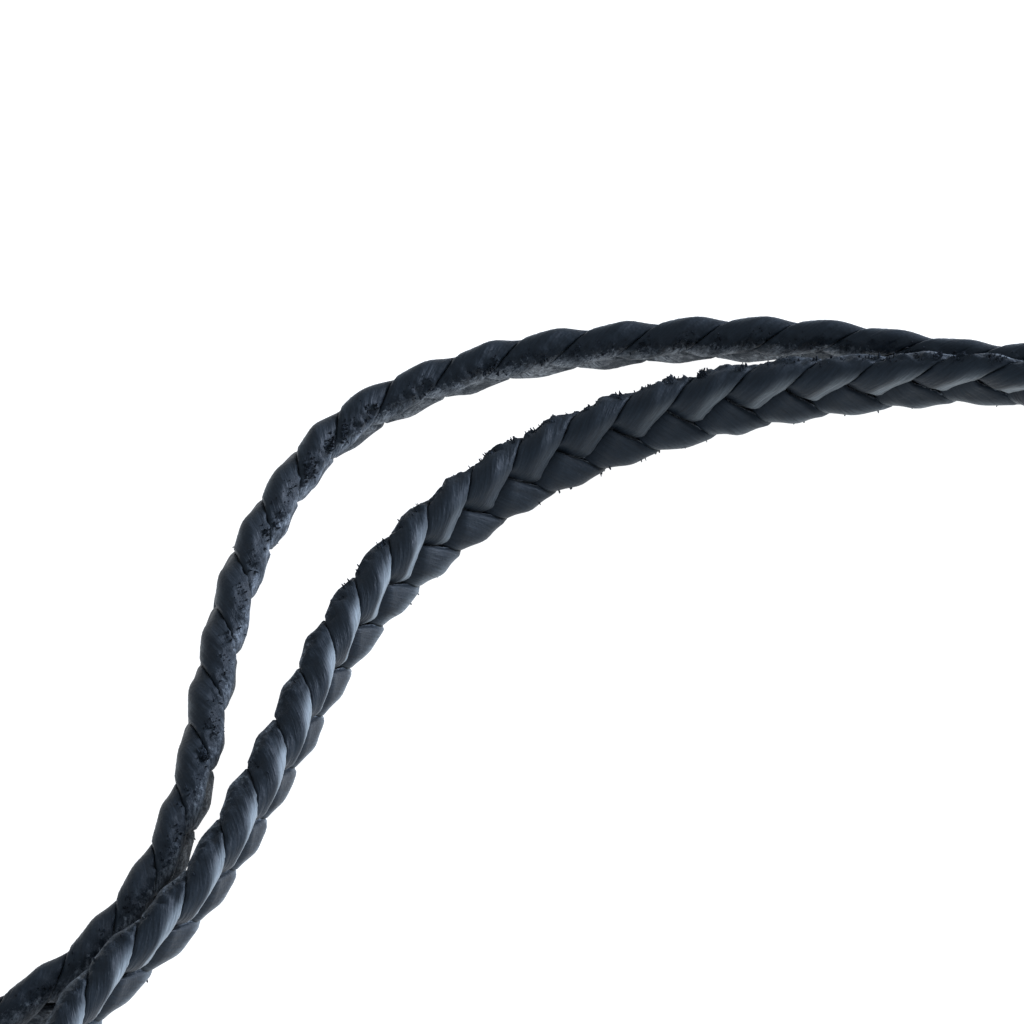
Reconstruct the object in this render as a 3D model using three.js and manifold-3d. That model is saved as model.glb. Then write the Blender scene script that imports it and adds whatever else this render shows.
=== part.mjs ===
// A braided leather necklace, laid down as one closed loop, in millimetres with +Z up.
// Three flat laces are braided into one narrow strap whose two ends are glued into a plain metal clasp.
// The strap stands on its edge, as a braid does when it is bent round, and leans over where it lies slack.
// Origin: the middle of the loop's bounding box, on the surface that it lies on.
import * as THREE from "three";
import { mergeVertices } from "three/addons/utils/BufferGeometryUtils.js";
import Module from "manifold-3d";

// The strap: the braid's outer form, with the laces pressed into an oval.
const BRAID = {
  width: 4.8, // across the grain face, from one cut edge to the other
  thickness: 2.4, // through the strap, from the grain face to the flesh face
  sides: 12,
  step: 6.2, // between two sections of the tube
};

// The clasp: a sleeve that stands on its narrow side, with a blind socket in each end.
const CLASP = {
  length: 19,
  height: 6.8,
  thickness: 4.6,
  bevel: 0.5, // on every long and short edge
  socketDepth: 4,
  socketGap: 0.35, // between the strap and the socket's walls
};

// The route of the strap's middle, chosen by hand: one row for each point, from the clasp round to the clasp.
//   x, y  place on the surface
//   lean  how far the grain face is tipped upwards, in degrees: 0 stands upright, facing out of the loop
//   lift  how far the strap's lowest edge is above the surface
const ROUTE = [
  { x: 82.5, y: 28.5, lean: 0, lift: 1.0 },
  { x: 82.5, y: 22.5, lean: 0, lift: 0.9 },
  { x: 79.1, y: 14.0, lean: 0, lift: 0.4 },
  { x: 71.0, y: 9.6, lean: 0, lift: 0.0 },
  { x: 59.5, y: 11.8, lean: 0, lift: 0.0 },
  { x: 44.5, y: 21.8, lean: -3, lift: 0.0 },
  { x: 30.0, y: 33.4, lean: -12, lift: 0.2 },
  { x: 16.7, y: 39.0, lean: -20, lift: 0.6 },
  { x: 6.1, y: 39.2, lean: -8, lift: 0.1 },
  { x: -4.2, y: 37.2, lean: 13, lift: 0.0 },
  { x: -13.6, y: 32.8, lean: 20, lift: 0.0 },
  { x: -21.1, y: 26.1, lean: 15, lift: 0.0 },
  { x: -26.5, y: 17.8, lean: 4, lift: 0.0 },
  { x: -30.4, y: 7.3, lean: -7, lift: 0.1 },
  { x: -34.8, y: -3.7, lean: -8, lift: 0.7 },
  { x: -40.4, y: -12.1, lean: -8, lift: 1.2 },
  { x: -45.3, y: -24.9, lean: -5, lift: 0.7 },
  { x: -48.4, y: -41.9, lean: 0, lift: 0.1 },
  { x: -54.8, y: -55.9, lean: 0, lift: 0.0 },
  { x: -70.4, y: -60.4, lean: 0, lift: 0.0 },
  { x: -82.5, y: -50.7, lean: 0, lift: 0.0 },
  { x: -81.5, y: -34.6, lean: 0, lift: 0.0 },
  { x: -58.4, y: -20.0, lean: 6, lift: 0.0 },
  { x: -42.8, y: -10.5, lean: 8, lift: 0.0 },
  { x: -38.1, y: -3.8, lean: 8, lift: 0.0 },
  { x: -35.7, y: 4.3, lean: 8, lift: 0.0 },
  { x: -34.6, y: 14.6, lean: 9, lift: 0.0 },
  { x: -32.8, y: 24.8, lean: 18, lift: 0.0 },
  { x: -27.5, y: 35.5, lean: 30, lift: 0.0 },
  { x: -18.5, y: 41.4, lean: 36, lift: 0.0 },
  { x: -7.3, y: 43.8, lean: 37, lift: 0.0 },
  { x: 4.5, y: 43.9, lean: 37, lift: 0.0 },
  { x: 15.9, y: 42.0, lean: 37, lift: 0.0 },
  { x: 28.5, y: 43.0, lean: 32, lift: 0.0 },
  { x: 42.5, y: 49.4, lean: 19, lift: 0.0 },
  { x: 57.0, y: 57.2, lean: 5, lift: 0.0 },
  { x: 70.7, y: 60.6, lean: 0, lift: 0.0 },
  { x: 79.3, y: 55.8, lean: 0, lift: 0.4 },
  { x: 82.5, y: 47.5, lean: 0, lift: 0.9 },
  { x: 82.5, y: 41.5, lean: 0, lift: 1.0 },
];

const UP = new THREE.Vector3(0, 0, 1);

// Height of the strap's middle over its lowest edge when it leans by that many degrees.
function halfHeight(lean) {
  const angle = THREE.MathUtils.degToRad(lean);
  return Math.hypot(
    (BRAID.width / 2) * Math.cos(angle),
    (BRAID.thickness / 2) * Math.sin(angle),
  );
}

// The strap's middle line. Its height and its frames follow the lean, so that the strap stays on the surface.
class StrapRoute extends THREE.CatmullRomCurve3 {
  constructor(rows) {
    super(rows.map((row) => new THREE.Vector3(row.x, row.y, 0)));
    this.rows = rows;
  }

  // A column of the route's table at a share t of its rows, evenly blended between two of them.
  valueAt(column, t) {
    const at = t * (this.rows.length - 1);
    const row = Math.min(Math.floor(at), this.rows.length - 2);
    return THREE.MathUtils.lerp(
      this.rows[row][column],
      this.rows[row + 1][column],
      at - row,
    );
  }

  getPoint(t, target = new THREE.Vector3()) {
    const point = super.getPoint(t, target);
    point.z = halfHeight(this.valueAt("lean", t)) + this.valueAt("lift", t);
    return point;
  }

  // The section's x runs down the strap's width and its y out of the grain face.
  computeFrenetFrames(segments) {
    const frames = { tangents: [], normals: [], binormals: [] };
    for (let i = 0; i <= segments; i++) {
      const u = i / segments;
      const tangent = this.getTangentAt(u);
      const outward = new THREE.Vector3()
        .crossVectors(UP, tangent)
        .normalize();
      const lean = THREE.MathUtils.degToRad(
        this.valueAt("lean", this.getUtoTmapping(u)),
      );
      const grain = outward.applyAxisAngle(tangent, lean);
      frames.tangents.push(tangent);
      frames.normals.push(new THREE.Vector3().crossVectors(grain, tangent));
      frames.binormals.push(grain);
    }
    return frames;
  }
}

function ovalShape(width, thickness, sides) {
  const points = [];
  for (let i = 0; i < sides; i++) {
    const angle = (2 * Math.PI * i) / sides;
    points.push(
      new THREE.Vector2(
        (width / 2) * Math.cos(angle),
        (thickness / 2) * Math.sin(angle),
      ),
    );
  }
  return new THREE.Shape(points);
}

function braidGeometry() {
  const route = new StrapRoute(ROUTE);
  return new THREE.ExtrudeGeometry(
    ovalShape(BRAID.width, BRAID.thickness, BRAID.sides),
    {
      steps: Math.round(route.getLength() / BRAID.step),
      extrudePath: route,
      bevelEnabled: false,
    },
  );
}

// A block centred on the origin, as long along Y as asked, with a small bevel on its edges.
function blockGeometry(thickness, length, height, bevel) {
  const half = { x: thickness / 2 - bevel, z: height / 2 - bevel };
  const shape = new THREE.Shape([
    new THREE.Vector2(-half.x, -half.z),
    new THREE.Vector2(half.x, -half.z),
    new THREE.Vector2(half.x, half.z),
    new THREE.Vector2(-half.x, half.z),
  ]);
  const depth = length - 2 * bevel;
  return new THREE.ExtrudeGeometry(shape, {
    depth,
    bevelEnabled: bevel > 0,
    bevelSize: bevel,
    bevelThickness: bevel,
    bevelSegments: 2,
  })
    .translate(0, 0, -depth / 2)
    .rotateX(Math.PI / 2);
}

const wasm = await Module();
wasm.setup();

function toSolid(geometry) {
  const bare = geometry.clone().deleteAttribute("normal");
  bare.deleteAttribute("uv");
  const merged = mergeVertices(bare, 1e-4);
  return new wasm.Manifold(
    new wasm.Mesh({
      numProp: 3,
      vertProperties: merged.attributes.position.array,
      triVerts: new Uint32Array(merged.index.array),
    }),
  );
}

function toGeometry(solid) {
  const mesh = solid.getMesh();
  const geometry = new THREE.BufferGeometry()
    .setAttribute("position", new THREE.BufferAttribute(mesh.vertProperties, 3))
    .setIndex(new THREE.BufferAttribute(mesh.triVerts, 1));
  geometry.computeVertexNormals();
  return geometry;
}

function claspGeometry() {
  const body = toSolid(
    blockGeometry(CLASP.thickness, CLASP.length, CLASP.height, CLASP.bevel),
  );
  const socket = blockGeometry(
    BRAID.thickness + 2 * CLASP.socketGap,
    2 * CLASP.socketDepth,
    BRAID.width + 2 * CLASP.socketGap,
    0,
  );
  const reach = CLASP.length / 2;
  return toGeometry(
    body
      .subtract(toSolid(socket.clone().translate(0, reach, 0)))
      .subtract(toSolid(socket.clone().translate(0, -reach, 0))),
  );
}

function materialOf(color, roughness, metalness) {
  return new THREE.MeshStandardMaterial({ color, roughness, metalness });
}

const leather = materialOf(0x1e222b, 0.55, 0);
const steel = materialOf(0xb9bbbd, 0.32, 1);

const braid = new THREE.Mesh(braidGeometry(), leather);
braid.name = "braid";

const first = ROUTE[0];
const last = ROUTE[ROUTE.length - 1];
const clasp = new THREE.Mesh(claspGeometry(), steel);
clasp.name = "clasp";
clasp.position.set(first.x, (first.y + last.y) / 2, CLASP.height / 2);

const necklace = new THREE.Group();
necklace.name = "braided_leather_necklace";
necklace.add(braid, clasp);

export default necklace;
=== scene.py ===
"""A braided leather necklace, lying on a white surface as one closed loop.

Three flat laces of navy leather are braided into a narrow strap. The strap stands on its edge, bends round at
both ends of the loop, and leans over where it lies slack. Its two ends meet in a plain steel sleeve.
Lengths are in metres. MM turns millimetres into metres.
"""

import math

import bmesh
import bpy
import numpy as np
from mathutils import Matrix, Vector


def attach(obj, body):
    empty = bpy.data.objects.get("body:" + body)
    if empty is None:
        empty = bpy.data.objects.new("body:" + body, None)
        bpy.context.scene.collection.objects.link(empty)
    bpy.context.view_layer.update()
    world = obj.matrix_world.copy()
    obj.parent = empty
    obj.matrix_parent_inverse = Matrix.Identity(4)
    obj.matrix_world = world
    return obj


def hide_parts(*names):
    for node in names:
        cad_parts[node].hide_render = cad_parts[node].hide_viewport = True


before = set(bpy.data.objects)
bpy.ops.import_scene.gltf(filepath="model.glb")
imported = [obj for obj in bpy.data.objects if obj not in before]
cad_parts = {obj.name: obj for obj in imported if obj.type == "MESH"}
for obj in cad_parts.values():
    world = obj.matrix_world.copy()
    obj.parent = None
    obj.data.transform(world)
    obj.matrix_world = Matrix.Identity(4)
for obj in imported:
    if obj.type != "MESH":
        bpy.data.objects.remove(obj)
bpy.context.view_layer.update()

MM = 0.001

# The camera: how far it looks down, the point on the surface that it looks at, and how far off it stands.
CAMERA = {"elevation": 46, "aim": (-0.0165, 0.030, 0.0), "distance": 0.240, "lens": 130.8, "nearest": 0.01}

# The strap's route: x and y on the surface, how far the grain face is tipped upwards in degrees,
# and how far the strap's lowest edge is above the surface.
ROUTE = [
    (0.0825, 0.0285, 0, 0.0010),
    (0.0825, 0.0225, 0, 0.0009),
    (0.0791, 0.0140, 0, 0.0004),
    (0.0710, 0.0096, 0, 0.0000),
    (0.0595, 0.0118, 0, 0.0000),
    (0.0445, 0.0218, -3, 0.0000),
    (0.0300, 0.0334, -12, 0.0002),
    (0.0167, 0.0390, -20, 0.0006),
    (0.0061, 0.0392, -8, 0.0001),
    (-0.0042, 0.0372, 13, 0.0000),
    (-0.0136, 0.0328, 20, 0.0000),
    (-0.0211, 0.0261, 15, 0.0000),
    (-0.0265, 0.0178, 4, 0.0000),
    (-0.0304, 0.0073, -7, 0.0001),
    (-0.0348, -0.0037, -8, 0.0007),
    (-0.0404, -0.0121, -8, 0.0012),
    (-0.0453, -0.0249, -5, 0.0007),
    (-0.0484, -0.0419, 0, 0.0001),
    (-0.0548, -0.0559, 0, 0.0000),
    (-0.0704, -0.0604, 0, 0.0000),
    (-0.0825, -0.0507, 0, 0.0000),
    (-0.0815, -0.0346, 0, 0.0000),
    (-0.0584, -0.0200, 6, 0.0000),
    (-0.0428, -0.0105, 8, 0.0000),
    (-0.0381, -0.0038, 8, 0.0000),
    (-0.0357, 0.0043, 8, 0.0000),
    (-0.0346, 0.0146, 9, 0.0000),
    (-0.0328, 0.0248, 18, 0.0000),
    (-0.0275, 0.0355, 30, 0.0000),
    (-0.0185, 0.0414, 36, 0.0000),
    (-0.0073, 0.0438, 37, 0.0000),
    (0.0045, 0.0439, 37, 0.0000),
    (0.0159, 0.0420, 37, 0.0000),
    (0.0285, 0.0430, 32, 0.0000),
    (0.0425, 0.0494, 19, 0.0000),
    (0.0570, 0.0572, 5, 0.0000),
    (0.0707, 0.0606, 0, 0.0000),
    (0.0793, 0.0558, 0, 0.0004),
    (0.0825, 0.0475, 0, 0.0009),
    (0.0825, 0.0415, 0, 0.0010),
]

STRAP = {"width": 4.8 * MM, "thickness": 2.4 * MM}

# The braid: three laces that wind round an oval. Each comes from the back round one edge to the front, where
# it dives under the lace from the other edge and goes through to the back again. Such a way round is a pass.
BRAID = {
    "laces": 3,
    "period": 13.1 * MM,  # along the strap, until a lace is back at the same edge
    "half_width": 2.60 * MM,
    "half_thickness": 1.46 * MM,
    "waist": 0.40,  # how much thinner the strap is along its middle
    "dive": 0.60,  # how gradually a lace goes down under the next one, as a share of its width
}
# How many periods the first lace has done at places along the strap: it is braided tighter in some stretches.
TURNS = [
    (0.0000, -0.25),
    (0.0987, 7.36),
    (0.1430, 11.00),
    (0.1630, 12.54),
    (0.3256, 24.67),
    (0.3600, 27.11),
    (0.4000, 29.97),
    (0.5000, 37.47),
]
# The laces' sizes. Their own length is "along" them and their breadth "over" them.
LACE = {
    "fill": 0.98,  # how much of the room between its neighbours a lace takes
    "depth": 1.2 * MM,
    "corner": 0.30 * MM,
    "crown": 0.08 * MM,  # how much lower its edges are than its middle
    "bevel": 0.30 * MM,  # how much lower again the edge is that laps over its neighbour
    "tuck": 0.50 * MM,  # how much lower the edge is that its neighbour laps over
    "buckle": 0.05 * MM,  # how unevenly its grain face lies
    "buckle_size": (2.6 * MM, 0.9 * MM),  # along and over
    "start": 7 * MM,  # how far along its hide each lace starts after the one before
    "rings": 3200,
    "around": 30,
}
# Places on a pass are in degrees from the strap's edge: -90 is the middle of the back, and 90 of the front.
HALF_LACE = 60  # from a lace's middle to its edge
EARLY = 30  # how far ahead of its middle a lace's leading edge goes through the strap
LAP = {
    "middle": -25,  # where a lace's two edges change places, from lapped over to lapping over
    "change": 25,  # how gradually they do
    "opens": 66,  # how far from there the laces are half opened out
    "gradual": 36,
    "closed_tilt": 0.3,  # how much they tilt before they open out
    "bevelled": 0.78,  # how much of a lace's half width the bevel takes
    "bevel_end": 1.02,  # and at how many half widths it ends
    "lower_bevel": 0.6,  # how much of the bevel a lace has at the strap's lower edge
}
# How thick the strap is at places along it, where 1 is usual. It is pressed where the loop's two sides touch.
PRESSED = [
    (0.076, 1.0),
    (0.084, 0.86),
    (0.0895, 0.77),
    (0.096, 0.86),
    (0.104, 1.0),
    (0.155, 1.0),
    (0.163, 0.86),
    (0.184, 0.86),
    (0.192, 1.0),
    (0.303, 1.0),
    (0.311, 0.86),
    (0.328, 0.86),
    (0.336, 1.0),
    (0.394, 1.0),
    (0.402, 0.86),
    (0.409, 0.77),
    (0.416, 0.86),
    (0.424, 1.0),
]
# How strongly the laces' outer margins are painted light at places along the strap, where 1 is usual: a
# painted highlight for light caught by the margins.
MARGIN_HIGHLIGHT = [
    (0.088, 1.1),
    (0.105, 0.9),
    (0.117, 0.4),
    (0.127, 0.5),
    (0.139, 2.5),
    (0.150, 3.1),
    (0.165, 2.7),
    (0.180, 2.3),
    (0.205, 1.0),
]
# Which parts get the painted highlight: the margin of a lace that laps over its neighbour, and the strap's
# lower rim.
HIGHLIGHT_PARTS = {
    "over": 0.24,  # at which share of a lace's half width the painted highlight is at half strength
    "over_gradual": 0.46,
    "opens": 52,  # how far along the pass from where the edges change places
    "gradual": 36,
    "rim": 50,  # how far from the strap's edge the rim's painted highlight is at half strength
    "rim_gradual": 32,
    "rim_most": 1.4,
}
# Where a lace shows its cut edge, with grain before it and flesh behind it, and how the cut is torn.
CUT_EDGE = {
    "middle": -15,
    "spread": 14,
    "flesh_from": -30,
    "flesh_gradual": 44,
    "rough": 0.21 * MM,
    "nibbles": 1.3,  # how much of the roughness is small bites
    "nibble_size": (0.36 * MM, 0.40 * MM),
    "tatters": 0.6,  # and how much is longer tears
    "tatter_size": (1.3 * MM, 0.8 * MM),
    "own_edge": 0.9,  # from which share of its half width a lace's own edge is raw
    "own_rawness": 0.5,
}
# Loose fibres that stand out of the cut edges.
FIBRES = {
    "most": 8800,
    "tries": 60,  # places tried for each of them
    "from_ends": 4 * MM,
    "over": 0.84,  # up to which share of a lace's half width they grow
    "clumps": (0.7 * MM, 0.8),  # their length, and their breadth as a share of the half width
    "between_clumps": 0.02,
    "rim": 35,  # where a second, thinner row grows along the strap's lower edge
    "rim_share": 0.12,
    "longest": 0.15 * MM,
    "shortest": 0.3,  # as a share of the longest
    "rooted": 0.40 * MM,  # how deep their roots are
    "follow": 0.7,  # how closely their roots follow the torn cut
    "lean": 0.8,  # how far they spread sideways, as a share of their length
    "curl": 0.7,
    "rise": 0.2,  # and how far they stand up
    "radius": 0.062 * MM,
    "stoutness": (0.6, 1.5),  # the least and the most, as shares of that
    "taper": {0: 1.0, 0.6: 0.9, 1.0: 0.5},  # how thick one is at shares of its length
}


# --- The strap's route ------------------------------------------------------------------------------------


def centripetal_curve(points, per_span):
    """Points along a centripetal Catmull-Rom curve through the given ones, and where in the list each is."""
    ends = 2 * points[0] - points[1], 2 * points[-1] - points[-2]
    p = np.vstack([ends[0], points, ends[1]])
    step = np.linalg.norm(np.diff(p, axis=0), axis=1) ** 0.5
    curve, place = [], []
    for i in range(len(points) - 1):
        p0, p1, p2, p3 = p[i : i + 4]
        d0, d1, d2 = step[i : i + 3]
        t1 = ((p1 - p0) / d0 - (p2 - p0) / (d0 + d1) + (p2 - p1) / d1) * d1
        t2 = ((p2 - p1) / d1 - (p3 - p1) / (d1 + d2) + (p3 - p2) / d2) * d1
        for t in np.arange(per_span) / per_span:
            curve.append(
                (2 * t**3 - 3 * t**2 + 1) * p1
                + (t**3 - 2 * t**2 + t) * t1
                + (3 * t**2 - 2 * t**3) * p2
                + (t**3 - t**2) * t2
            )
            place.append(i + t)
    return np.vstack([curve, points[-1:]]), np.append(place, len(points) - 1)


def unit(vectors):
    return vectors / np.linalg.norm(vectors, axis=-1, keepdims=True)


def interpolate(places, known, vectors):
    """Vectors that are known at some places, at other places."""
    return np.column_stack([np.interp(places, known, column) for column in vectors.T])


def by_place(s, table):
    """What a table of places along the strap and values says for s."""
    return np.interp(s, *np.array(table).T)


class Strap:
    """The strap's middle line at even distances, with its directions there."""

    PER_SPAN = 60  # points of the curve from one row of the route to the next

    def __init__(self, samples):
        rows = np.array(ROUTE)
        flat, place = centripetal_curve(rows[:, :2], self.PER_SPAN)
        column = np.arange(len(rows))
        lean = np.radians(np.interp(place, column, rows[:, 2]))
        half_width, half_thickness = STRAP["width"] / 2, STRAP["thickness"] / 2
        height = np.hypot(half_width * np.cos(lean), half_thickness * np.sin(lean))
        line = np.column_stack([flat, height + np.interp(place, column, rows[:, 3])])
        gone = np.append(0, np.cumsum(np.linalg.norm(np.diff(line, axis=0), axis=1)))
        self.length = gone[-1]
        self.s = np.linspace(0, self.length, samples)
        self.middle = interpolate(self.s, gone, line)
        along = unit(np.gradient(self.middle, self.s, axis=0))
        outward = unit(np.cross([0, 0, 1], along))
        tip = np.interp(self.s, gone, lean)[:, None]
        self.grain = outward * np.cos(tip) + np.cross(along, outward) * np.sin(tip)
        self.across = np.cross(self.grain, along)


strap = Strap(LACE["rings"] + 1)

# --- The laces --------------------------------------------------------------------------------------------


def smooth(value):
    """A smooth step from 0 at -1 to 1 at 1."""
    t = np.clip((value + 1) / 2, 0, 1)
    return t * t * (3 - 2 * t)


def bulge(angle):
    """How far out the strap's outline is at an angle, with a slight waist along the strap's middle."""
    return np.sin(angle) * (1 - BRAID["waist"] * np.sin(angle) ** 4)


WIDEST = np.max(bulge(np.linspace(0, 2, 200)))


def outline(angle, depth):
    """Across and outwards: the strap's rounded outline, or so deep below it."""
    across = (BRAID["half_width"] - depth) * np.cos(angle)
    return across, (BRAID["half_thickness"] - depth) * bulge(angle) / WIDEST


OUTLINE_ANGLE = np.linspace(-math.pi, math.pi, 4001)
OUTLINE_GONE = np.append(0, np.cumsum(np.hypot(*np.diff(outline(OUTLINE_ANGLE, 0)))))
OUTLINE_GONE -= OUTLINE_GONE[len(OUTLINE_GONE) // 2]
QUARTER = np.interp(math.pi / 2, OUTLINE_ANGLE, OUTLINE_GONE)
SLANT = math.atan2(4 * QUARTER, BRAID["period"])
LACE_BREADTH = BRAID["period"] / BRAID["laces"] * math.sin(SLANT)
LACE_SKEW = BRAID["period"] * EARLY / 360


def on_outline(side, turned, depth):
    """Across and outwards: a place so many degrees of a pass from the strap's edge, and so deep."""
    across, outward = outline(np.interp(turned / 90 * QUARTER, OUTLINE_GONE, OUTLINE_ANGLE), depth)
    return side * across, outward


def lapping(turned, x):
    """1 at the edge of a lace that laps over its neighbour, and -1 at the edge that is lapped over."""
    return x * np.tanh((turned - LAP["middle"]) / LAP["change"])


def lapping_edge(side, turned, x):
    """How much a lace tilts there, and how far down the bevel of its lapping edge a point is."""
    opened = smooth((np.abs(turned - LAP["middle"]) - LAP["opens"]) / LAP["gradual"])
    tilted = (LAP["closed_tilt"] + (1 - LAP["closed_tilt"]) * opened) * (1 - lapping(turned, x))
    bevelled = opened * np.where(side < 0, 1, LAP["lower_bevel"])
    start = 1 - LAP["bevelled"] * bevelled
    return tilted, bevelled * np.clip((lapping(turned, x) - start) / (LAP["bevel_end"] - start), 0, 1)


def lace_depth(side, turned, x, y):
    """How deep below the outline a point of a lace's section is: x is from -1 to 1, and y from its middle."""
    outer = side * y
    skin = 0.5 + outer / LACE["depth"]
    tilted, bevel = lapping_edge(side, turned, x)
    lowered = LACE["crown"] * x**2 + LACE["tuck"] * tilted / 2 + LACE["bevel"] * bevel
    return LACE["depth"] / 2 - outer + skin * lowered


def lace_pass(s, number, x):
    """The edge that a lace goes to next, how far it is past the strap's middle, and how far it is through."""
    phase = 360 * (by_place(s, TURNS) + number / BRAID["laces"])
    passing = np.rint((phase + EARLY * x) / 180)
    since = phase - 180 * passing
    return np.where(passing % 2 == 0, 1, -1), since, smooth((x + since / EARLY) / BRAID["dive"])


def lace_showing(s, number, x):
    """The edge that a point of a lace is wound round, and how many degrees of the pass it is from there."""
    side, since, through = lace_pass(s, number, x)
    gone = through > 0.5
    return np.where(gone, side, -side), since + np.where(gone, -90, 90) + HALF_LACE * LACE["fill"] * x


def lace_place(s, number, x, y):
    """A point of the lace's section, at s along the strap, as a place in the necklace."""
    side, since, through = lace_pass(s, number, x)
    spread = HALF_LACE * LACE["fill"] * x
    before = on_outline(-side, since + 90 + spread, lace_depth(-side, since + 90 + spread, x, y))
    after = on_outline(side, since - 90 + spread, lace_depth(side, since - 90 + spread, x, y))
    across, outward = [(b * (1 - through) + a * through)[:, None] for b, a in zip(before, after)]
    outward *= by_place(s, PRESSED)[:, None]
    lines = strap.middle, strap.across, strap.grain
    middle, across_way, outward_way = [interpolate(s, strap.s, line) for line in lines]
    place = middle + across_way * across + outward_way * outward
    place[:, 2] = np.maximum(place[:, 2], 0)
    return place


def strip_outline(angle):
    """The outline of a lace's section, a strip with rounded corners, by its angle from the middle."""
    c, s = np.cos(angle), np.sin(angle)
    flat_breadth, flat_depth = LACE_BREADTH / 2 - LACE["corner"], LACE["depth"] / 2 - LACE["corner"]
    reach = 1 / np.maximum(np.abs(c) / flat_breadth, np.abs(s) / flat_depth) + LACE["corner"]
    return reach * c, reach * s


def lace_section(share):
    """A place that share of the way round the section: x as a share of the lace's half width, and y."""
    angle = np.linspace(0, 2 * math.pi, 2001)
    gone = np.append(0, np.cumsum(np.hypot(*np.diff(strip_outline(angle)))))
    x, y = strip_outline(np.interp(share * gone[-1], gone, angle))
    return x / (LACE_BREADTH / 2), y


def cut_edge(turned):
    """1 where a lace's cut edge shows, falling to 0 on either side."""
    return np.exp(-(((turned - CUT_EDGE["middle"]) / CUT_EDGE["spread"]) ** 2))


SPECKLE_GRID = 64  # lumps each way, before they come round again


def speckle(seed, *sizes):
    """Even noise from -1 to 1 over as many directions as there are sizes, each the size of its lumps."""
    grid = np.random.default_rng(seed).uniform(-1, 1, (SPECKLE_GRID,) * len(sizes))

    def value(*places):
        cells = [np.mod(place / size, SPECKLE_GRID) for place, size in zip(places, sizes)]
        whole = [np.floor(cell).astype(int) for cell in cells]
        part = [(c - w) ** 2 * (3 - 2 * (c - w)) for c, w in zip(cells, whole)]
        total = 0
        for corner in range(2 ** len(sizes)):
            step = [corner >> i & 1 for i in range(len(sizes))]
            share = np.prod([p if up else 1 - p for p, up in zip(part, step)], axis=0)
            total = total + share * grid[tuple((w + up) % SPECKLE_GRID for w, up in zip(whole, step))]
        return total

    return value


def rawness(turned, x):
    """1 where a lace is cut raw, at the strap's edge and a little at its own edges, falling to 0."""
    own_edge = np.clip((np.abs(x) - CUT_EDGE["own_edge"]) / (1 - CUT_EDGE["own_edge"]), 0, 1)
    return np.maximum(cut_edge(turned), own_edge * CUT_EDGE["own_rawness"])


nibbles, tatters = speckle(1, *CUT_EDGE["nibble_size"]), speckle(2, *CUT_EDGE["tatter_size"])


def along_and_over(s, number, x):
    """A point's place on its own lace, laid out flat."""
    return (s + x * LACE_SKEW) / math.cos(SLANT) + number * LACE["start"], x * LACE_BREADTH / 2


def nibbled_edge(s, number, x, turned):
    """How far a lace's raw edge stands out of its plain outline."""
    flat = along_and_over(s, number, x)
    torn = CUT_EDGE["nibbles"] * nibbles(*flat) + CUT_EDGE["tatters"] * tatters(*flat)
    return torn * rawness(turned, x) * CUT_EDGE["rough"]


def painted_margin_highlight(s, side, turned, x):
    """How much the outside of a lace is painted light: a painted highlight where it would catch the light."""
    highlight_by_place = by_place(s, MARGIN_HIGHLIGHT)
    opened = smooth((np.abs(turned - LAP["middle"]) - HIGHLIGHT_PARTS["opens"]) / HIGHLIGHT_PARTS["gradual"])
    lapped = smooth((lapping(turned, x) - HIGHLIGHT_PARTS["over"]) / HIGHLIGHT_PARTS["over_gradual"]) * opened
    rim = smooth((HIGHLIGHT_PARTS["rim"] - np.abs(turned)) / HIGHLIGHT_PARTS["rim_gradual"])
    return np.where(side < 0, lapped * highlight_by_place, rim * np.minimum(highlight_by_place, HIGHLIGHT_PARTS["rim_most"]))


def keep(mesh, name, values):
    """Keeps values on the mesh's points, for its material to read."""
    kind = "FLOAT" if values.ndim == 1 else "FLOAT_VECTOR"
    layer = mesh.attributes.new(name, kind, "POINT")
    layer.data.foreach_set("value" if values.ndim == 1 else "vector", values.ravel())


def lace_mesh(name, number):
    """One lace, as a flat grid that is wrapped round the lace's line and closed along its seam."""
    rings, around = LACE["rings"], LACE["around"]
    sheet = bmesh.new()
    bmesh.ops.create_grid(sheet, x_segments=rings, y_segments=around, size=0.5)
    mesh = bpy.data.meshes.new(name)
    sheet.to_mesh(mesh)
    sheet.free()

    flat = np.empty(len(mesh.vertices) * 3)
    mesh.vertices.foreach_get("co", flat)
    flat = flat.reshape(-1, 3)
    ring = np.rint((flat[:, 0] + 0.5) * rings).astype(int)
    x, y = lace_section(flat[:, 1] + 0.5)
    s = np.clip(strap.s[ring] - x * LACE_SKEW, 0, strap.length)
    side, turned = lace_showing(s, number, x)
    outer = np.clip(side * y / LACE["depth"] * 2, -1, 1)
    raw = rawness(turned, x)
    along, over = along_and_over(s, number, x)
    buckled = speckle(20 + number, *LACE["buckle_size"])(along, over) * (1 - raw) * LACE["buckle"]
    y = y + side * (nibbled_edge(s, number, x, turned) + buckled) * (outer + 1) / 2
    mesh.vertices.foreach_set("co", lace_place(s, number, x, y).ravel())
    behind_cut = np.clip((CUT_EDGE["flesh_from"] - turned) / CUT_EDGE["flesh_gradual"] + 0.5, 0, 1)
    keep(mesh, "along_lace", np.column_stack([along, over, y]))
    keep(mesh, "raw", raw)
    # The margins' painted highlight, kept for the material to lighten the colour there.
    keep(mesh, "painted_highlight", painted_margin_highlight(s, side, turned, x) * (outer + 1) / 2)
    keep(mesh, "flesh", np.where(outer < -0.2, 1.0, behind_cut))  # the lace's inner face is flesh all over

    lace = bmesh.new()
    lace.from_mesh(mesh)
    bmesh.ops.remove_doubles(lace, verts=lace.verts, dist=1e-7)
    bmesh.ops.holes_fill(lace, edges=lace.edges, sides=around)
    bmesh.ops.recalc_face_normals(lace, faces=lace.faces)
    for f in lace.faces:
        f.smooth = True
    lace.to_mesh(mesh)
    lace.free()
    return mesh


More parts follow.
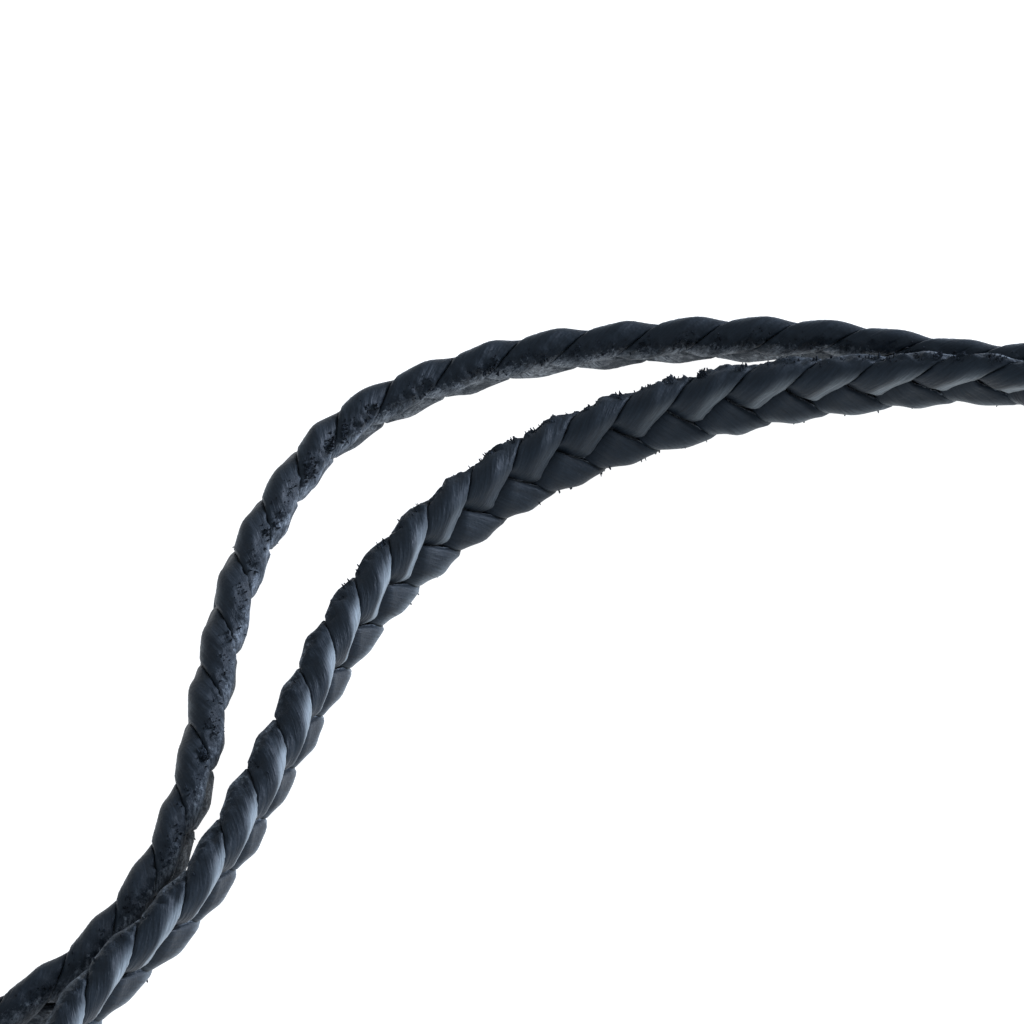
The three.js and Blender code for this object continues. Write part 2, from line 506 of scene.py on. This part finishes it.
def fibre_mesh(name, seed):
    """Short curled fibres that stand out of the laces' cut edges, thickest at the root and in clumps."""
    dice = np.random.default_rng(seed)
    tries = FIBRES["tries"] * FIBRES["most"]
    s = dice.uniform(FIBRES["from_ends"], strap.length - FIBRES["from_ends"], tries)
    x = dice.uniform(-FIBRES["over"], FIBRES["over"], tries)
    number = dice.integers(0, BRAID["laces"], tries)
    side, turned = lace_showing(s, number, x)
    clump = speckle(seed, *FIBRES["clumps"])(s, x) * 0.5 + 0.5
    lower_rim = np.where(side > 0, FIBRES["rim_share"] * cut_edge(turned - FIBRES["rim"]), 0)
    # Fewer fibres grow where the margins' painted highlight is strongest.
    fewer_where_highlit = np.maximum(by_place(s, MARGIN_HIGHLIGHT), 1) ** 2
    chance = np.maximum(cut_edge(turned), lower_rim) * (FIBRES["between_clumps"] + clump**4) / fewer_where_highlit
    chosen = np.flatnonzero(dice.random(tries) < chance)[: FIBRES["most"]]
    s, x, number, side, turned = s[chosen], x[chosen], number[chosen], side[chosen], turned[chosen]
    skin = LACE["depth"] / 2 + FIBRES["follow"] * nibbled_edge(s, number, x, turned)
    count = len(chosen)
    length = FIBRES["longest"] * (FIBRES["shortest"] + (1 - FIBRES["shortest"]) * dice.random(count) ** 2)
    lean_s, lean_x = dice.normal(0, FIBRES["lean"], count), dice.normal(0, FIBRES["lean"], count)
    curl_s, curl_x = dice.normal(0, FIBRES["curl"], count), dice.normal(0, FIBRES["curl"], count)
    stout = dice.uniform(*FIBRES["stoutness"], count)
    steps = []
    for t in FIBRES["taper"]:
        wander_s = length * (lean_s * t + curl_s * t * t)
        wander_x = length * (lean_x * t + curl_x * t * t) / LACE_BREADTH
        height = skin - FIBRES["rooted"] * (1 - t) + FIBRES["rise"] * length * t
        steps.append(lace_place(s + wander_s, number, np.clip(x + wander_x, -1, 1), side * height))
    line = np.stack(steps, axis=1)
    taper = np.array(list(FIBRES["taper"].values()))
    tuft = bpy.data.curves.new(name, "CURVE")
    tuft.dimensions = "3D"
    tuft.bevel_depth = FIBRES["radius"]
    tuft.bevel_resolution = 0
    tuft.use_fill_caps = True
    for one, girth in zip(line, stout):
        strand = tuft.splines.new("POLY")
        strand.points.add(len(one) - 1)
        strand.points.foreach_set("co", np.column_stack([one, np.ones(len(one))]).ravel())
        strand.points.foreach_set("radius", girth * taper)
    carrier = bpy.data.objects.new(name, tuft)
    bpy.context.scene.collection.objects.link(carrier)
    mesh = bpy.data.meshes.new_from_object(carrier.evaluated_get(bpy.context.evaluated_depsgraph_get()))
    bpy.data.objects.remove(carrier)
    bpy.data.curves.remove(tuft)
    mesh.name = name
    place = np.empty(len(mesh.vertices) * 3)
    mesh.vertices.foreach_get("co", place)
    place[2::3] = np.maximum(place[2::3], 0)
    mesh.vertices.foreach_set("co", place)
    return mesh


def piece(name, mesh, material):
    """Puts a mesh in the scene as a piece of one material."""
    made = bpy.data.objects.new(name, mesh)
    bpy.context.scene.collection.objects.link(made)
    mesh.materials.append(material)
    return made


# --- Materials --------------------------------------------------------------------------------------------


def linear(hex_colour):
    """An sRGB hex colour as linear red, green, blue and alpha."""
    parts = [int(hex_colour[i : i + 2], 16) / 255 for i in (0, 2, 4)]
    return [p / 12.92 if p <= 0.04045 else ((p + 0.055) / 1.055) ** 2.4 for p in parts] + [1]


def per(mm):
    """The scale of a pattern whose lumps are so many millimetres across."""
    return 1000 / mm


def add(tree, kind, inputs, **settings):
    """Adds a node with its settings, and sets or links its inputs."""
    node = tree.nodes.new("ShaderNode" + kind)
    for key, value in settings.items():
        setattr(node, key, value)
    for socket, value in inputs.items():
        if isinstance(value, bpy.types.NodeSocket):
            tree.links.new(value, node.inputs[socket])
        else:
            node.inputs[socket].default_value = value
    return node.outputs


def new_material(name, inputs):
    """A material with values on its shader's own sockets, and its node tree and shader."""
    material = bpy.data.materials.new(name)
    material.use_nodes = True
    shader = material.node_tree.nodes["Principled BSDF"]
    for socket, value in inputs.items():
        shader.inputs[socket].default_value = value
    return material, material.node_tree, shader


def join(tree, shader, **outputs):
    """Links outputs to the shader's sockets, whose names have spaces where these have underscores."""
    for socket, output in outputs.items():
        tree.links.new(output, shader.inputs[socket.replace("_", " ")])


# Navy-black leather, dyed through and cut into laces. Its depth comes from fine pebbled grain and lengthwise
# creases that catch the light at a slant, and from outer margins painted lighter in streaks along the lace, a
# painted highlight where they would catch the light. Behind the cut edge it turns to lighter, fibrous flesh.
leather, tree, shader = new_material(
    "navy_leather", {"Specular IOR Level": 0.17, "Sheen Weight": 0.04, "Sheen Roughness": 0.35}
)
on_lace = add(tree, "Attribute", {}, attribute_name="along_lace")["Vector"]
raw_here = add(tree, "Attribute", {}, attribute_name="raw")["Fac"]
flesh_here = add(tree, "Attribute", {}, attribute_name="flesh")["Fac"]
object_place = add(tree, "TexCoord", {})["Object"]
lengthwise = add(tree, "Mapping", {"Vector": on_lace, "Scale": (per(2.4), per(0.34), per(0.6))})["Vector"]
creases = add(tree, "TexNoise", {"Vector": lengthwise, "Scale": 1.0, "Detail": 3.0, "Roughness": 0.6})["Fac"]
pebbles = add(tree, "TexVoronoi", {"Vector": object_place, "Scale": per(0.24), "Randomness": 1.0})["Distance"]
patchy = {"Vector": object_place, "Scale": per(1.7), "Detail": 4.0, "Roughness": 0.6}
mottle = add(tree, "TexNoise", patchy)["Fac"]
crumbly = {"Vector": object_place, "Scale": per(0.30), "Detail": 4.0, "Roughness": 0.75}
crumbs = add(tree, "TexNoise", crumbly)["Fac"]
hair = add(tree, "Mapping", {"Vector": on_lace, "Scale": (per(0.42), per(0.19), per(0.3))})["Vector"]
hairy = {"Vector": hair, "Scale": 1.0, "Detail": 5.0, "Roughness": 0.75, "Distortion": 0.4}
fibres = add(tree, "TexNoise", hairy)["Fac"]

# The hide's grain face, with its margins painted light as a painted highlight.
dark_hide = add(tree, "Mix", {0: mottle, 6: linear("12191f"), 7: linear("1c252d")}, data_type="RGBA")[2]
highlight_here = add(tree, "Attribute", {}, attribute_name="painted_highlight")["Fac"]
fading = {0: highlight_here, 1: 0.15, 2: 1.35, 3: 0.0, 4: 1.0}
shaped_highlight = add(tree, "MapRange", fading, interpolation_type="SMOOTHSTEP")[0]
fine = add(tree, "Mapping", {"Vector": on_lace, "Scale": (per(1.3), per(0.15), per(0.3))})["Vector"]
scratchy = {"Vector": fine, "Scale": 1.0, "Detail": 5.0, "Roughness": 0.7, "Distortion": 0.4}
scuffs = add(tree, "TexNoise", scratchy)["Fac"]
streaked = add(tree, "MapRange", {0: scuffs, 1: 0.36, 2: 0.64, 3: 0.40, 4: 1.0})[0]
painted_highlight = add(tree, "Math", {0: shaped_highlight, 1: streaked}, operation="MULTIPLY")[0]
streak_tone = add(tree, "MapRange", {0: scuffs, 1: 0.35, 2: 0.65, 3: 0.78, 4: 1.28})[0]
streaky_hide = add(tree, "VectorMath", {0: dark_hide, "Scale": streak_tone}, operation="SCALE")[0]
# The light 889196 is painted highlight on the lapping margins and on the strap's lower rim.
hide = add(tree, "Mix", {0: painted_highlight, 6: streaky_hide, 7: linear("889196")}, data_type="RGBA")[2]

# The flesh: it takes the dye unevenly, and its border with the grain is ragged.
fibre_light = add(tree, "MapRange", {0: fibres, 1: 0.36, 2: 0.68, 3: 0.0, 4: 1.0})[0]
dyed_through = add(tree, "MapRange", {0: mottle, 1: 0.38, 2: 0.60, 3: 0.15, 4: 1.0})[0]
fibre_light = add(tree, "Math", {0: fibre_light, 1: dyed_through}, operation="MULTIPLY")[0]
flesh = add(tree, "Mix", {0: fibre_light, 6: linear("2a3138"), 7: linear("a2aab2")}, data_type="RGBA")[2]
ragged = add(tree, "MapRange", {0: crumbs, 1: 0.3, 2: 0.7, 3: -0.33, 4: 0.33})[0]
frayed = add(tree, "Math", {0: flesh_here, 1: ragged}, operation="ADD")[0]
is_flesh = add(tree, "MapRange", {0: frayed, 1: 0.34, 2: 0.74, 3: 0.0, 4: 1.0})[0]

# Both together, with the surface's gloss and relief.
finish = add(tree, "Mix", {0: is_flesh, 6: hide, 7: flesh}, data_type="RGBA")[2]
grain_gloss = add(tree, "MapRange", {0: mottle, 1: 0.3, 2: 0.7, 3: 0.50, 4: 0.62})[0]
gloss = add(tree, "Mix", {0: is_flesh, 2: grain_gloss, 3: 0.85}, data_type="FLOAT")[0]
crease_bump = add(tree, "Bump", {"Height": creases, "Strength": 0.7, "Distance": 0.13 * MM})["Normal"]
pebble_bump = add(
    tree, "Bump", {"Height": pebbles, "Strength": 0.35, "Distance": 0.035 * MM, "Normal": crease_bump}
)["Normal"]
fibre_strength = add(tree, "MapRange", {0: is_flesh, 1: 0.0, 2: 1.0, 3: 0.0, 4: 0.9})[0]
flesh_bump = add(
    tree, "Bump", {"Height": fibres, "Strength": fibre_strength, "Distance": 0.12 * MM, "Normal": pebble_bump}
)["Normal"]
edge_bump = add(
    tree, "Bump", {"Height": crumbs, "Strength": raw_here, "Distance": 0.08 * MM, "Normal": flesh_bump}
)["Normal"]
join(tree, shader, Base_Color=finish, Roughness=gloss, Normal=edge_bump)

# Loose leather fibre: dull and a little lighter than the hide, uneven in tone from one fibre to the next.
fibre_stuff, tree, shader = new_material("leather_fibre", {"Roughness": 0.9, "Specular IOR Level": 0.2})
object_place = add(tree, "TexCoord", {})["Object"]
tone = add(tree, "TexNoise", {"Vector": object_place, "Scale": per(0.8), "Detail": 2.0})["Fac"]
spread_tone = add(tree, "MapRange", {0: tone, 1: 0.35, 2: 0.75, 3: 0.0, 4: 1.0})[0]
colour = add(tree, "Mix", {0: spread_tone, 6: linear("0e1319"), 7: linear("2b333c")}, data_type="RGBA")[2]
join(tree, shader, Base_Color=colour)

# Brushed steel: fine scratches along the sleeve, and patches that are worn a little smoother.
steel, tree, shader = new_material("brushed_steel", {"Metallic": 1.0, "Anisotropic": 0.4})
object_place = add(tree, "TexCoord", {})["Object"]
brushed = add(tree, "Mapping", {"Vector": object_place, "Scale": (per(0.10), per(4.0), per(0.10))})["Vector"]
scratches = add(tree, "TexNoise", {"Vector": brushed, "Scale": 1.0, "Detail": 4.0, "Roughness": 0.7})["Fac"]
polished = add(tree, "TexNoise", {"Vector": object_place, "Scale": per(3.0), "Detail": 3.0})["Fac"]
tint = add(tree, "Mix", {0: scratches, 6: linear("9a9da0"), 7: linear("c9cbcd")}, data_type="RGBA")[2]
shine = add(tree, "MapRange", {0: polished, 1: 0.3, 2: 0.7, 3: 0.24, 4: 0.38})[0]
scratch_bump = add(tree, "Bump", {"Height": scratches, "Strength": 0.25, "Distance": 0.02 * MM})["Normal"]
join(tree, shader, Base_Color=tint, Roughness=shine, Normal=scratch_bump)

# The white surface: lit from within like a light table, so that nothing throws a shadow on it.
white, _, shader = new_material("light_table", {"Roughness": 0.7, "Emission Strength": 1.0})
shader.inputs["Base Color"].default_value = linear("a6a9ac")
shader.inputs["Emission Color"].default_value = linear("ffffff")


# --- The camera -------------------------------------------------------------------------------------------

tilt = math.radians(CAMERA["elevation"])
aim = Vector(CAMERA["aim"])
camera = bpy.data.objects.new("camera", bpy.data.cameras.new("camera"))  # its sensor is 36 mm wide
camera.data.lens = CAMERA["lens"]
camera.data.clip_start = CAMERA["nearest"]
camera.location = aim + CAMERA["distance"] * Vector((0, -math.cos(tilt), math.sin(tilt)))
camera.rotation_euler = (math.pi / 2 - tilt, 0, 0)
bpy.context.scene.collection.objects.link(camera)
bpy.context.scene.camera = camera

# --- The necklace -----------------------------------------------------------------------------------------

laces = [piece(f"lace_{i + 1}", lace_mesh(f"lace_{i + 1}", i), leather) for i in range(BRAID["laces"])]
for lace in laces:
    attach(lace, "root")
fuzz = piece("cut_edge_fibres", fibre_mesh("cut_edge_fibres", 5), fibre_stuff)
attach(fuzz, "root")
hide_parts("braid")
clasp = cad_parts["clasp"]
clasp.data.materials.clear()
clasp.data.materials.append(steel)

# --- The table and the lights -----------------------------------------------------------------------------

floor_form = bmesh.new()
bmesh.ops.create_grid(floor_form, x_segments=1, y_segments=1, size=3)
floor_mesh = bpy.data.meshes.new("table")
floor_form.to_mesh(floor_mesh)
floor_form.free()
table = piece("table", floor_mesh, white)


def softbox(name, place, size, power):
    """A square light that faces the necklace, with its side in metres and its power in watts."""
    lamp = bpy.data.lights.new(name, "AREA")
    lamp.shape, lamp.size, lamp.energy = "SQUARE", size, power
    lamp.color = linear("d6e5ff")[:3]
    box = bpy.data.objects.new(name, lamp)
    box.location = place
    box.rotation_euler = (Vector((0, 0, 0)) - box.location).to_track_quat("-Z", "Y").to_euler()
    bpy.context.scene.collection.objects.link(box)


softbox("side_softbox", (0.72, 0.45, 0.10), 0.4, 17)
softbox("front_softbox", (0.1, -0.8, 0.16), 0.4, 1)

# The room: a soft, even and slightly cool light from all round.
world = bpy.data.worlds.new("studio")
bpy.context.scene.world = world
world.use_nodes = True
world.node_tree.nodes["Background"].inputs["Color"].default_value = linear("dfe9f7")
world.node_tree.nodes["Background"].inputs["Strength"].default_value = 0.72
bpy.context.scene.view_settings.view_transform = "Standard"
